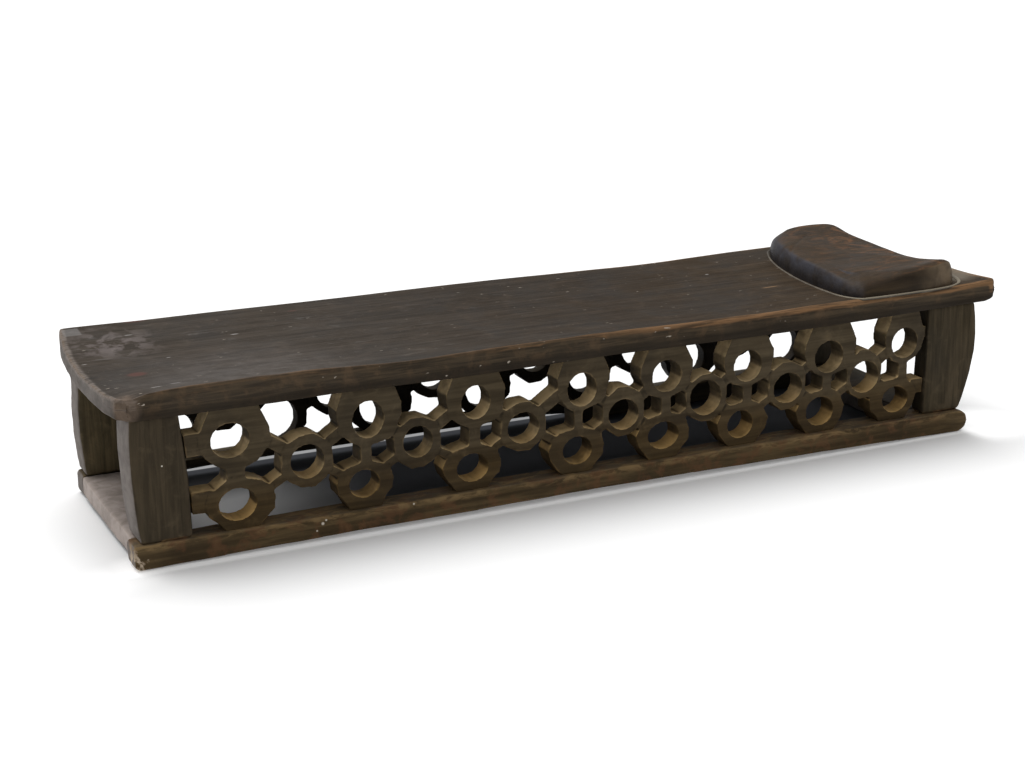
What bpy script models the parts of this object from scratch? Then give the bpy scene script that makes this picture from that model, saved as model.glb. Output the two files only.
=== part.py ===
"""Low carved bed: a dished sleeping board with a raised headrest, carried on
two pierced side walls of rings, four corner posts, two floor rails and two
end planks.

Metres, +Z up, floor at Z = 0.  The length runs along X with the headrest at
+X, and the front wall faces -Y.
"""

import bpy
import bmesh
import math

from mathutils import Matrix


# ---------------------------------------------------------------- dimensions

MM = 0.001
GAP = 0.3 * MM                  # parting gap between neighbouring members
CENTRING = 0.0054               # moves the finished bed so its length is centred

# Sleeping board
BOARD_HALF_WIDTH = 0.2615
BOARD_UNDERSIDE = 0.292
BOARD_EDGE_ROUND = 0.007

# Along the board: x, height of the front edge, of the hollow's middle line and
# of the back edge.
BOARD_STATIONS = [
    (-0.955, 0.3435, 0.3270, 0.3450), (-0.880, 0.3455, 0.3275, 0.3440),
    (-0.800, 0.3455, 0.3275, 0.3425), (-0.600, 0.3435, 0.3275, 0.3420),
    (-0.400, 0.3385, 0.3270, 0.3405), (-0.100, 0.3380, 0.3265, 0.3390),
    (0.150, 0.3365, 0.3265, 0.3355), (0.400, 0.3345, 0.3260, 0.3325),
    (0.620, 0.3370, 0.3275, 0.3365), (0.800, 0.3375, 0.3280, 0.3375),
    (0.900, 0.3380, 0.3285, 0.3380), (0.945, 0.3385, 0.3290, 0.3380),
]

# How far each end reaches, at positions across the board
FOOT_END = [(-0.2615, -0.951), (-0.238, -0.977), (-0.190, -0.985), (-0.110, -0.989),
            (-0.020, -0.990), (0.070, -0.986), (0.160, -0.978), (0.2615, -0.963)]
HEAD_END = [(-0.2615, 0.969), (-0.250, 0.977), (-0.235, 0.979), (-0.200, 0.972),
            (-0.150, 0.965), (-0.080, 0.960), (0.000, 0.950), (0.080, 0.945),
            (0.160, 0.946), (0.230, 0.954), (0.2615, 0.956)]

# Floor frame
FRONT_RAIL_OUTER_Y = 0.2500
BACK_RAIL_OUTER_Y = 0.2455
RAIL_INNER_Y = 0.1955
FRONT_RAIL_SPLAY = 0.010        # the front rail's outer face runs out towards the head
RAIL_TOP = 0.050
RAIL_ROUND = 0.006
FRONT_RAIL_ENDS = (-0.963, 0.919)
BACK_RAIL_ENDS = (-0.953, 0.914)
LEFT_PLANK = (-0.9560, -0.835)
RIGHT_PLANK = (0.894, 0.788)

# Corner posts
POST_OUTER_Y = 0.2475
POST_ROUND = 0.006

# Pierced walls
WALL_OUTER_Y = 0.2445
FRONT_WALL_DEPTH = 0.048
BACK_WALL_DEPTH = 0.032
NECK_INSET = 0.002              # necks stand this far behind the ring faces
HOLE_SIDES = 16

# Necks of the middle rings: slope and width of the rising pair, then of the
# falling pair.
WALL_NECKS = {
    "front": ((0.67, 0.025), (0.56, 0.018)),
    "back": ((0.52, 0.046), (0.36, 0.034)),
}
NECK_REACH = 0.70               # share of the way to the column's middle
FOOT_FLAT = 0.033               # least half width of a lower ring's foot

# Headrest
SEAT_TOP = 0.3405               # low raised seat the headrest stands on
SEAT_RISE = 0.003               # how far the seat stands out of the hollow
SEAT_MARGIN = 0.007
HEADREST_BASE = SEAT_TOP + GAP
HEADREST_MIDDLE = (0.765, -0.010)


# Each column of a wall, millimetres: an upper ring, a strut and a lower ring.
# Rings are (x, z, half width, half height) of the outer shape, then the same
# for the hole.
FRONT_COLUMNS = [
    {"upper": (-757, 234, 70, 70), "upper_hole": (-767, 226, 37, 33),
     "lower": (-750, 101, 69, 51), "lower_hole": (-758, 99, 36, 31), "strut": (-778, -740)},
    {"upper": (-491, 240, 68, 70), "upper_hole": (-493, 227, 31, 36),
     "lower": (-503, 100, 61, 46), "lower_hole": (-505, 99, 30, 27), "strut": (-512, -487)},
    {"upper": (-267, 240, 65, 66), "upper_hole": (-268, 229, 30, 33),
     "lower": (-278, 98, 65, 48), "lower_hole": (-277, 96, 33, 28), "strut": (-284, -258)},
    {"upper": (-31, 240, 60, 66), "upper_hole": (-35, 223, 32, 34),
     "lower": (-48, 98, 65, 49), "lower_hole": (-46, 96, 32, 28), "strut": (-53, -32)},
    {"upper": (160, 238, 63, 64), "upper_hole": (160, 225, 33, 33),
     "lower": (152, 100, 64, 49), "lower_hole": (153, 99, 35, 28), "strut": (147, 170)},
    {"upper": (355, 237, 62, 64), "upper_hole": (353, 221, 33, 33),
     "lower": (343, 98, 63, 50), "lower_hole": (337, 96, 30, 29), "strut": (342, 364)},
    {"upper": (559, 235, 67, 68), "upper_hole": (555, 214, 35, 34),
     "lower": (537, 97, 62, 50), "lower_hole": (535, 96, 34, 31), "strut": (540, 564)},
    {"upper": (750, 236, 52, 65), "upper_hole": (750, 220, 32, 33),
     "lower": (724, 97, 62, 50), "lower_hole": (730, 95, 33, 28), "strut": (736, 760)},
]

# Middle rings, each between two neighbouring columns, millimetres.
FRONT_MIDDLES = [
    {"ring": (-618, 163, 54, 55), "hole": (-618, 162, 33, 33)},
    {"ring": (-392, 165, 52, 54), "hole": (-392, 167, 30, 31)},
    {"ring": (-166, 164, 52, 54), "hole": (-166, 162, 34, 31)},
    {"ring": (60, 163, 50, 55), "hole": (60, 157, 34, 31)},
    {"ring": (254, 165, 51, 54), "hole": (252, 166, 37, 37)},
    {"ring": (452, 164, 49, 55), "hole": (453, 159, 35, 32)},
    {"ring": (646, 163, 46, 57), "hole": (648, 157, 36, 34)},
]

# The back wall has wider rings and one column fewer.
BACK_COLUMNS = [
    {"upper": (-750, 236, 70, 70), "upper_hole": (-750, 225, 38, 37),
     "lower": (-750, 103, 75, 55), "lower_hole": (-750, 101, 45, 45), "strut": (-763, -737)},
    {"upper": (-527, 236, 71, 70), "upper_hole": (-527, 225, 38, 37),
     "lower": (-527, 103, 71, 55), "lower_hole": (-527, 101, 45, 45), "strut": (-540, -514)},
    {"upper": (-295, 236, 71, 70), "upper_hole": (-295, 225, 38, 37),
     "lower": (-295, 103, 80, 55), "lower_hole": (-295, 101, 45, 45), "strut": (-308, -282)},
    {"upper": (-47, 236, 69, 70), "upper_hole": (-47, 225, 38, 37),
     "lower": (-47, 104, 70, 55), "lower_hole": (-47, 104, 42, 42), "strut": (-60, -34)},
    {"upper": (208, 236, 70, 70), "upper_hole": (208, 225, 38, 37),
     "lower": (208, 104, 68, 55), "lower_hole": (208, 104, 42, 42), "strut": (195, 221)},
    {"upper": (478, 236, 70, 70), "upper_hole": (478, 225, 38, 37),
     "lower": (487, 104, 72, 55), "lower_hole": (478, 103, 42, 42), "strut": (465, 491)},
    {"upper": (737, 236, 66, 70), "upper_hole": (737, 225, 38, 37),
     "lower": (737, 104, 72, 55), "lower_hole": (737, 103, 43, 43), "strut": (724, 750)},
]

BACK_MIDDLES = [
    {"ring": (-645, 156, 56, 63), "hole": (-645, 156, 37, 38)},
    {"ring": (-400, 153, 56, 59), "hole": (-400, 153, 37, 42)},
    {"ring": (-163, 158, 56, 62), "hole": (-163, 158, 37, 39)},
    {"ring": (81, 163, 56, 66), "hole": (81, 163, 37, 36)},
    {"ring": (340, 148, 58, 64), "hole": (340, 148, 37, 41)},
    {"ring": (611, 155, 56, 65), "hole": (611, 155, 37, 38)},
]

# Hand-cut unevenness of a ring's outline: radius factors taken in turn.
UNEVEN = (1.00, 0.97, 1.02, 0.98, 1.01, 0.99, 1.03, 0.98, 1.00, 1.02, 0.97)

# Posts: inner edge at the foot, at mid height and at the head, outermost x,
# bow, depth, then the side.  The bow lists say how far the outer face falls
# back, millimetres, from foot to head.
BOW_RISES = (0.0, 0.030, 0.080, 0.130, 0.165, 0.205)
MID_RISE = 0.120
FRONT_LEFT_BOW = (12, 7, 3, 1, 0, 1, 3)
BACK_LEFT_BOW = (8, 5, 1, 0, 2, 4, 7)
FRONT_RIGHT_BOW = (38, 27, 11, 1, 0, 3, 9)
BACK_RIGHT_BOW = (22, 14, 5, 0, 1, 4, 8)
POSTS = {
    "front_left_post": (-0.846, -0.848, -0.860, -0.960, FRONT_LEFT_BOW, 0.088, -1),
    "front_right_post": (0.8035, 0.806, 0.8085, 0.9415, FRONT_RIGHT_BOW, 0.046, -1),
    "back_left_post": (-0.850, -0.855, -0.860, -0.954, BACK_LEFT_BOW, 0.062, 1),
    "back_right_post": (0.8035, 0.806, 0.8085, 0.912, BACK_RIGHT_BOW, 0.062, 1),
}

# Necks from the end columns to the posts, millimetres: (lift above the
# ring's centre, width) for the upper ring, then for the lower ring.
POST_NECKS = {
    "front_left_post": ((-8, 46), (12, 44)),
    "front_right_post": ((2, 25), (20, 35)),
    "back_left_post": ((2, 32), (10, 34)),
    "back_right_post": ((2, 32), (10, 34)),
}

# Headrest, millimetres, anticlockwise from the front foot corner: plan (x, y),
# then heights above its base at the rim, the shoulder and the crest.
HEADREST_RIM = [
    (622, -236, 20, 24, 30), (640, -251, 22, 27, 31), (690, -255, 27, 31, 33), (750, -254, 33, 36, 35),
    (805, -251, 40, 41, 37), (857, -236, 46, 46, 39), (890, -208, 37, 38, 36), (905, -160, 27, 28, 29),
    (909, -80, 13, 15, 25), (909, 20, 12, 15, 27), (905, 110, 18, 22, 31), (893, 180, 27, 30, 36),
    (864, 219, 44, 47, 44), (818, 234, 45, 50, 46), (762, 236, 43, 49, 46), (706, 224, 33, 43, 43),
    (680, 190, 35, 42, 41), (656, 130, 34, 38, 38), (637, 50, 31, 34, 35), (623, -40, 31, 33, 33),
    (616, -130, 29, 31, 32), (615, -200, 24, 27, 31),
]
HEADREST_PLAN = [row[:2] for row in HEADREST_RIM]
HEADREST_CROWN = 33


# ------------------------------------------------------------- scene helpers

for old in list(bpy.data.objects):
    bpy.data.objects.remove(old, do_unlink=True)

parts = bpy.data.collections.new("carved_bed")
cutters = bpy.data.collections.new("cutters")
bpy.context.scene.collection.children.link(parts)
bpy.context.scene.collection.children.link(cutters)

DARK = (0.060, 0.045, 0.035)
UMBER = (0.085, 0.062, 0.044)
OLIVE = (0.075, 0.062, 0.045)


def wood(name, colour, roughness):
    """One brown wood for one node."""
    material = bpy.data.materials.new(name + "_wood")
    material.use_nodes = True
    shader = material.node_tree.nodes["Principled BSDF"]
    shader.inputs["Base Color"].default_value = (*colour, 1.0)
    shader.inputs["Roughness"].default_value = roughness
    material.diffuse_color = (*colour, 1.0)
    return material


def weld(body):
    """Close the seam between a slab's caps and walls, faces outwards."""
    work = bmesh.new()
    work.from_mesh(body.data)
    bmesh.ops.remove_doubles(work, verts=work.verts, dist=0.00005)
    bmesh.ops.recalc_face_normals(work, faces=work.faces)
    work.to_mesh(body.data)
    work.free()


def prism(name, outline, holes, low, high, plane):
    """A straight-sided slab: a filled 2D curve, extruded, as a mesh.

    plane "XZ" takes outline points as (x, z) and runs along Y, plane "XY"
    takes (x, y) and runs along Z, plane "YZ" takes (y, z) and runs along X.
    """
    curve = bpy.data.curves.new(name, "CURVE")
    curve.dimensions = "2D"
    curve.fill_mode = "BOTH"
    curve.extrude = (high - low) / 2
    for loop in [outline] + holes:
        spline = curve.splines.new("POLY")
        spline.points.add(len(loop) - 1)
        for point, (a, b) in zip(spline.points, loop):
            point.co = (a, b, 0.0, 1.0)
        spline.use_cyclic_u = True
    draft = bpy.data.objects.new(name, curve)
    cutters.objects.link(draft)
    bpy.context.view_layer.update()
    mesh = bpy.data.meshes.new_from_object(draft)
    bpy.data.objects.remove(draft, do_unlink=True)
    bpy.data.curves.remove(curve)
    middle = (low + high) / 2
    for vertex in mesh.vertices:
        a, b, c = vertex.co
        if plane == "XZ":
            vertex.co = (a, middle - c, b)
        elif plane == "XY":
            vertex.co = (a, b, middle + c)
        else:
            vertex.co = (middle + c, a, b)
    mesh.name = name
    body = bpy.data.objects.new(name, mesh)
    parts.objects.link(body)
    weld(body)
    return body


def combine(body, tool, operation):
    """Add a Boolean with a tool, and put the tool away with the cutters."""
    if tool.name in parts.objects:
        parts.objects.unlink(tool)
        cutters.objects.link(tool)
        tool.hide_render = True
        tool.display_type = "WIRE"
    modifier = body.modifiers.new(operation.lower(), "BOOLEAN")
    modifier.operation = operation
    modifier.solver = "EXACT"
    modifier.object = tool


def soften(body, width, segments=2, angle=30):
    """Round the sharp arrises."""
    modifier = body.modifiers.new("arris", "BEVEL")
    modifier.width = width
    modifier.segments = segments
    modifier.limit_method = "ANGLE"
    modifier.angle_limit = math.radians(angle)


def finish(body, colour, roughness=0.7, smooth=False):
    """Give a node its wood and its shading."""
    body.data.materials.clear()
    body.data.materials.append(wood(body.name, colour, roughness))
    if smooth:
        for face in body.data.polygons:
            face.use_smooth = True


# ------------------------------------------------------------ outline aids

WALL_TOP = BOARD_UNDERSIDE - GAP
WALL_BOTTOM = RAIL_TOP + GAP


def around(centre_x, centre_z, half_x, half_z, degrees, start):
    """Uneven ring outline points at the given angles."""
    points = []
    for step, angle in enumerate(degrees):
        factor = UNEVEN[(start + step) % len(UNEVEN)]
        turn = math.radians(angle)
        points.append((centre_x + factor * half_x * math.cos(turn),
                       centre_z + factor * half_z * math.sin(turn)))
    return points


def hole_loop(ring):
    """Round hole, from (x, z, half width, half height) in millimetres."""
    x, z, half_x, half_z = (value * MM for value in ring)
    loop = []
    for step in range(HOLE_SIDES):
        turn = 2 * math.pi * (step + 0.5) / HOLE_SIDES
        loop.append((x + half_x * math.cos(turn), z + half_z * math.sin(turn)))
    return loop


def grown(loop, centre, margin):
    """The same outline moved outwards from a centre by a margin."""
    points = []
    for a, b in loop:
        scale = 1 + margin / math.hypot(a - centre[0], b - centre[1])
        points.append((centre[0] + (a - centre[0]) * scale, centre[1] + (b - centre[1]) * scale))
    return points


def upper_sides(column, start):
    """Upper ring's left and right flanks, from the board to the strut."""
    x, z, half_x, half_z = (value * MM for value in column["upper"])
    left_strut, right_strut = (value * MM for value in column["strut"])
    flat = half_x * math.sqrt(max(0.0, 1 - ((WALL_TOP - z) / half_z) ** 2)) + 0.006
    left = around(x, z, half_x, half_z, (170, 190, 212, 233), start)
    right = around(x, z, half_x, half_z, (307, 328, 350, 370), start + 4)
    throat = z - half_z + 0.004
    return ([(x - flat, WALL_TOP)] + left + [(left_strut, throat)],
            [(right_strut, throat)] + right + [(x + flat, WALL_TOP)])


def lower_sides(column, start):
    """Lower ring's left and right flanks, from the strut to the rail."""
    x, z, half_x, half_z = (value * MM for value in column["lower"])
    left_strut, right_strut = (value * MM for value in column["strut"])
    flat = max(half_x * math.sqrt(max(0.0, 1 - ((z - WALL_BOTTOM) / half_z) ** 2)) + 0.012, FOOT_FLAT)
    left = around(x, z, half_x, half_z, (127, 150, 175, 203, 226), start)
    right = around(x, z, half_x, half_z, (314, 337, 365, 390, 413), start + 5)
    throat = z + half_z - 0.003
    return ([(left_strut, throat)] + left + [(x - flat, WALL_BOTTOM)],
            [(x + flat, WALL_BOTTOM)] + right + [(right_strut, throat)])


def neck_loop(start_point, end_point, width):
    """A straight neck between two points, as a four-cornered loop."""
    run = math.hypot(end_point[0] - start_point[0], end_point[1] - start_point[1])
    along = ((end_point[0] - start_point[0]) / run, (end_point[1] - start_point[1]) / run)
    side = (-along[1] * width / 2, along[0] * width / 2)
    return [(start_point[0] + side[0], start_point[1] + side[1]),
            (start_point[0] - side[0], start_point[1] - side[1]),
            (end_point[0] - side[0], end_point[1] - side[1]),
            (end_point[0] + side[0], end_point[1] + side[1])]


def post_loop(inner, outer_x, bow):
    """Post seen from the front: nearly straight inside, bowed outside."""
    toward = 1 if outer_x > inner[0] else -1
    rises = BOW_RISES + (WALL_TOP - WALL_BOTTOM,)
    outside = []
    for rise, inset in zip(rises, bow):
        outside.append((outer_x - toward * inset * MM, WALL_BOTTOM + rise))
    return outside + [(inner[2], WALL_TOP), (inner[1], WALL_BOTTOM + MID_RISE), (inner[0], WALL_BOTTOM)]


# ------------------------------------------------------------ pierced walls

def build_wall(side, columns, middles):
    """One pierced wall: ring pairs, and middle rings necked between them."""
    if side == "front":
        low, high = -WALL_OUTER_Y, -WALL_OUTER_Y + FRONT_WALL_DEPTH
    else:
        low, high = WALL_OUTER_Y - BACK_WALL_DEPTH, WALL_OUTER_Y

    for index, column in enumerate(columns):
        upper_left, upper_right = upper_sides(column, 2 * index)
        lower_left, lower_right = lower_sides(column, 2 * index + 3)
        outline = upper_left + lower_left + lower_right + upper_right
        holes = [hole_loop(column["upper_hole"]), hole_loop(column["lower_hole"])]
        pair = prism(f"{side}_ring_pair_{index + 1}", outline, holes, low, high, "XZ")
        if index == 0:
            join_to_post(pair, column, f"{side}_left_post", low, high)
        if index == len(columns) - 1:
            join_to_post(pair, column, f"{side}_right_post", low, high)
        finish(pair, OLIVE)

    for index, middle in enumerate(middles):
        x, z, half_x, half_z = (value * MM for value in middle["ring"])
        ring = prism(f"{side}_middle_ring_{index + 1}",
                     around(x, z, half_x, half_z, range(15, 375, 30), index), [], low, high, "XZ")
        mates = [columns[index]["upper"], columns[index + 1]["upper"],
                 columns[index]["lower"], columns[index + 1]["lower"]]
        rising, falling = WALL_NECKS[side]
        for number, mate in enumerate(mates):
            slope, width = rising if number < 2 else (-falling[0], falling[1])
            run = NECK_REACH * (mate[0] * MM - x)
            target = (x + run, z + slope * abs(run))
            inset = NECK_INSET + 0.0002 * number
            neck = prism(f"{ring.name}_neck_{number + 1}", neck_loop((x, z), target, width),
                         [], low + inset, high - inset, "XZ")
            combine(ring, neck, "UNION")
        hole = prism(f"{ring.name}_hole", hole_loop(middle["hole"]), [], low - 0.01, high + 0.01, "XZ")
        combine(ring, hole, "DIFFERENCE")
        for neighbour in (index, index + 1):
            trim_to_column(ring, columns[neighbour], neighbour, low, high)
        finish(ring, OLIVE)


def trim_to_column(ring, column, number, low, high):
    """Trim a middle ring's necks a parting gap short of a column."""
    upper_left, upper_right = upper_sides(column, 2 * number)
    lower_left, lower_right = lower_sides(column, 2 * number + 3)
    for label, loop, shape in (("upper", upper_left + upper_right, column["upper"]),
                               ("lower", lower_left + lower_right, column["lower"])):
        centre = (shape[0] * MM, shape[1] * MM)
        tool = prism(f"{ring.name}_{label}_{number + 1}", grown(loop, centre, 1.35 * GAP), [],
                     low - 0.01, high + 0.01, "XZ")
        combine(ring, tool, "DIFFERENCE")


def join_to_post(pair, column, post_name, low, high):
    """Short necks from an end column, trimmed a parting gap off its post."""
    inner = POSTS[post_name][:3]
    toward = 1 if inner[0] > column["upper"][0] * MM else -1
    shapes = (column["upper"], column["lower"])
    for number, (shape, neck_sizes) in enumerate(zip(shapes, POST_NECKS[post_name])):
        lift, width = (value * MM for value in neck_sizes)
        x, z = shape[0] * MM, shape[1] * MM
        start_point = (x + toward * (shape[2] * MM - 0.014), z + lift)
        end_point = (inner[0] + toward * 0.03, z + lift)
        inset = NECK_INSET + 0.0002 * number
        neck = prism(f"{pair.name}_post_neck_{number + 1}", neck_loop(start_point, end_point, width),
                     [], low + inset, high - inset, "XZ")
        combine(pair, neck, "UNION")
    foot, mid, head = (value - toward * GAP for value in inner)
    trim = [(foot, WALL_BOTTOM), (foot + toward * 0.09, WALL_BOTTOM),
            (head + toward * 0.09, WALL_TOP), (head, WALL_TOP), (mid, WALL_BOTTOM + MID_RISE)]
    tool = prism(f"{pair.name}_post_trim", trim, [], low - 0.01, high + 0.01, "XZ")
    combine(pair, tool, "DIFFERENCE")


build_wall("front", FRONT_COLUMNS, FRONT_MIDDLES)
build_wall("back", BACK_COLUMNS, BACK_MIDDLES)


# ------------------------------------------------------------- corner posts

for name, (*inner, outer_x, bow, depth, side) in POSTS.items():
    if side < 0:
        low, high = -POST_OUTER_Y, -POST_OUTER_Y + depth
    else:
        low, high = POST_OUTER_Y - depth, POST_OUTER_Y
    post = prism(name, post_loop(inner, outer_x, bow), [], low, high, "XZ")
    soften(post, POST_ROUND)
    finish(post, UMBER)


# -------------------------------------------------------------- floor frame

# Undersides of the rails: x, then height above the floor.
FRONT_RAIL_UNDERSIDE = [(-0.952, 0.0), (-0.719, 0.004), (-0.487, 0.007), (-0.256, 0.0085), (-0.026, 0.009),
                        (0.205, 0.0085), (0.436, 0.007), (0.667, 0.004), (0.897, 0.0)]
BACK_RAIL_UNDERSIDE = [(-0.945, 0.0), (-0.820, 0.003), (-0.735, 0.011), (-0.620, 0.015), (-0.300, 0.016),
                       (0.000, 0.015), (0.110, 0.013), (0.165, 0.008), (0.200, 0.0), (0.894, 0.0)]
BACK_PLANING = (-0.800, 0.190)  # run of the planed inner lower edge


def rail_loop(ends, underside):
    """Rail seen from the front, its underside hollowed."""
    left, right = ends
    nose = [(right - 0.006, 0.010), (right, 0.024), (right - 0.005, 0.040), (right - 0.018, RAIL_TOP)]
    tail = [(left + 0.004, RAIL_TOP), (left, 0.042), (left + 0.001, 0.008)]
    return underside + nose + tail


front_rail = prism("front_rail", rail_loop(FRONT_RAIL_ENDS, FRONT_RAIL_UNDERSIDE), [],
                   -FRONT_RAIL_OUTER_Y, -RAIL_INNER_Y, "XZ")
for vertex in front_rail.data.vertices:
    if vertex.co.y < -0.22:
        vertex.co.y -= FRONT_RAIL_SPLAY * (vertex.co.x - FRONT_RAIL_ENDS[0]) / 1.88
soften(front_rail, RAIL_ROUND)
finish(front_rail, UMBER)

# The back rail is planed away along its inner lower edge.
back_rail = prism("back_rail", rail_loop(BACK_RAIL_ENDS, BACK_RAIL_UNDERSIDE), [],
                  RAIL_INNER_Y, BACK_RAIL_OUTER_Y, "XZ")
soften(back_rail, RAIL_ROUND)
planing = prism("back_rail_planing", [(RAIL_INNER_Y - 0.01, -0.01), (RAIL_INNER_Y + 0.045, -0.01),
                                      (RAIL_INNER_Y + 0.040, 0.015), (RAIL_INNER_Y - 0.01, 0.035)],
                [], *BACK_PLANING, "YZ")
combine(back_rail, planing, "DIFFERENCE")
finish(back_rail, UMBER)

plank_half = RAIL_INNER_Y - GAP


def end_plank(name, outer, inner):
    """Plank across one end, between the rails."""
    toward = 1 if outer > inner else -1
    outline = [(inner, -plank_half), (inner, plank_half), (outer - toward * 0.002, plank_half),
               (outer, 0.0), (outer - toward * 0.002, -plank_half)]
    plank = prism(name, outline, [], 0.0, RAIL_TOP, "XY")
    soften(plank, 0.006)
    finish(plank, UMBER)
    return plank


left_plank = end_plank("left_end_plank", *LEFT_PLANK)
end_plank("right_end_plank", *RIGHT_PLANK)

# The left plank's outer lower edge is adzed away.
plank_edge = prism("left_end_plank_edge", [(-0.918, -0.0041), (-0.960, 0.0131), (-1.000, 0.0131),
                                           (-1.000, -0.0041)], [], -0.30, 0.30, "XZ")
combine(left_plank, plank_edge, "DIFFERENCE")


# ----------------------------------------------------------- sleeping board

def between(table, position, column):
    """Value of a table's column at a position, straight between its rows."""
    position = min(max(position, table[0][0]), table[-1][0])
    for low, high in zip(table, table[1:]):
        if position <= high[0]:
            share = (position - low[0]) / (high[0] - low[0])
            return low[column] + (high[column] - low[column]) * share
    return table[-1][column]


def board_top(x, y):
    """Height of the board's hollowed top."""
    middle = between(BOARD_STATIONS, x, 2)
    edge = between(BOARD_STATIONS, x, 1 if y < 0 else 3)
    return middle + (edge - middle) * (y / BOARD_HALF_WIDTH) ** 2


def board_section(x, ends):
    """One loop round the board: along the underside, then back over the top."""
    rim = BOARD_HALF_WIDTH - BOARD_EDGE_ROUND
    across = [-rim, -0.238, -0.200, -0.150, -0.080, 0.000, 0.080, 0.150, 0.200, 0.238, rim]
    lap = [(y, BOARD_UNDERSIDE) for y in across]
    for side in (1, -1):
        upper = board_top(x, side * BOARD_HALF_WIDTH) - BOARD_EDGE_ROUND
        edge = [(side * BOARD_HALF_WIDTH, BOARD_UNDERSIDE + BOARD_EDGE_ROUND),
                (side * BOARD_HALF_WIDTH, upper)]
        if side > 0:
            lap += edge + [(y, board_top(x, y)) for y in reversed(across)]
        else:
            lap += list(reversed(edge))
    return [(between(ends, y, 1) if ends else x, y, z) for y, z in lap]


def close_end(work, loop, count):
    """Close one end with upright faces from the underside to the top."""
    for step in range(count - 1):
        work.faces.new((loop[step], loop[step + 1],
                        loop[2 * count - step], loop[2 * count + 1 - step]))
    work.faces.new((loop[count - 1], loop[count], loop[count + 1], loop[count + 2]))
    work.faces.new((loop[2 * count + 1], loop[2 * count + 2], loop[2 * count + 3], loop[0]))


def loft(name, sections, close_ends):
    """A skin over a run of equal loops, closed at its ends."""
    mesh = bpy.data.meshes.new(name)
    work = bmesh.new()
    loops = [[work.verts.new(point) for point in section] for section in sections]
    size = len(loops[0])
    for lower, upper in zip(loops, loops[1:]):
        for step in range(size):
            ahead = (step + 1) % size
            work.faces.new((lower[step], lower[ahead], upper[ahead], upper[step]))
    close_ends(work, loops)
    bmesh.ops.recalc_face_normals(work, faces=work.faces)
    work.to_mesh(mesh)
    work.free()
    body = bpy.data.objects.new(name, mesh)
    parts.objects.link(body)
    return body


def close_board(work, loops):
    """Close both ends of the board."""
    for loop in (loops[0], loops[-1]):
        close_end(work, loop, 11)


sections = [board_section(BOARD_STATIONS[0][0], FOOT_END)]
sections += [board_section(row[0], None) for row in BOARD_STATIONS[1:-1]]
sections.append(board_section(BOARD_STATIONS[-1][0], HEAD_END))
board = loft("sleeping_board", sections, close_board)
soften(board, BOARD_EDGE_ROUND, 2, 60)

# A low seat follows the hollow under the headrest.
plan = [(x * MM, y * MM) for x, y in HEADREST_PLAN]
across_board = [0.330 - 0.660 * step / 12 for step in range(13)]
seat_line = [(y, min(board_top(0.80, y) + SEAT_RISE, SEAT_TOP)) for y in across_board]
seat = prism("board_headrest_seat", grown(plan, HEADREST_MIDDLE, SEAT_MARGIN), [], 0.305, 0.360, "XY")
seat_ceiling = prism("board_headrest_seat_ceiling", [(-0.330, 0.300), (0.330, 0.300)] + seat_line,
                     [], 0.50, 1.00, "YZ")
combine(seat, seat_ceiling, "INTERSECT")
combine(board, seat, "UNION")

# The underside rises past the head posts.
rise_profile = [(0.900, 0.270), (1.020, 0.270), (1.020, BOARD_UNDERSIDE + 0.020),
                (0.900, BOARD_UNDERSIDE - 0.009)]
combine(board, prism("board_head_rise", rise_profile, [], -0.30, 0.30, "XZ"), "DIFFERENCE")
finish(board, DARK, 0.6)


# ----------------------------------------------------------------- headrest

PILLOW_BASE = 0.320             # below the hollow, before the underside is cut

# Sizes of the loops of the pillow above its wall, with the share of the way
# from the crest to the crown.
PILLOW_TOP = [(0.750, 0.0), (0.480, 0.50), (0.240, 0.85)]


def pillow_loop(size, heights):
    """One loop of the pillow: its plan at a size, with a height for each corner."""
    return [(x, y, z) for (x, y), z in zip(grown_by(plan, HEADREST_MIDDLE, size), heights)]


def pillow_loops():
    """The loops of the pillow from its base up the wall and over."""
    rim, shoulder, crest = ([HEADREST_BASE + row[column] * MM for row in HEADREST_RIM]
                            for column in (2, 3, 4))
    crown = HEADREST_BASE + HEADREST_CROWN * MM
    loops = [pillow_loop(1.000, [PILLOW_BASE] * len(rim)),
             pillow_loop(1.000, [PILLOW_BASE + 0.55 * (z - PILLOW_BASE) for z in rim]),
             pillow_loop(0.985, [z - 0.006 for z in rim]),
             pillow_loop(0.955, rim), pillow_loop(0.900, shoulder)]
    return loops + [pillow_loop(size, [z + (crown - z) * share for z in crest]) for size, share in PILLOW_TOP]


def grown_by(loop, centre, size):
    """The same outline scaled about a centre."""
    return [(centre[0] + (a - centre[0]) * size, centre[1] + (b - centre[1]) * size) for a, b in loop]


def close_pillow(work, loops):
    """Close the pillow: one flat face below, a fan to the crown above."""
    work.faces.new(list(reversed(loops[0])))
    crown = work.verts.new((*HEADREST_MIDDLE, HEADREST_BASE + HEADREST_CROWN * MM))
    top = loops[-1]
    for step in range(len(top)):
        work.faces.new((top[step], top[(step + 1) % len(top)], crown))


headrest = loft("headrest", pillow_loops(), close_pillow)
bed_line = [(y, z + GAP) for y, z in seat_line]
underlay = prism("headrest_underlay", [(-0.330, 0.280), (0.330, 0.280)] + bed_line, [], 0.50, 1.00, "YZ")
combine(headrest, underlay, "DIFFERENCE")
finish(headrest, DARK, 0.5, smooth=True)


# ---------------------------------------------------------------- centring

# The length is centred on X = 0.
for body in list(parts.objects) + list(cutters.objects):
    body.data.transform(Matrix.Translation((CENTRING, 0.0, 0.0)))
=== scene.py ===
"""Low carved wooden bed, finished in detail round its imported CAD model.

Every visible piece is a dense mesh grown from the CAD nodes, or lofted in the
space they hold, then cut, worn and coloured as hand-adzed wood.  Metres, +Z
up, headrest at +X, front wall towards -Y.
"""

import math

import bmesh
import bpy
import numpy as np
from mathutils import Matrix, Vector


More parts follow.
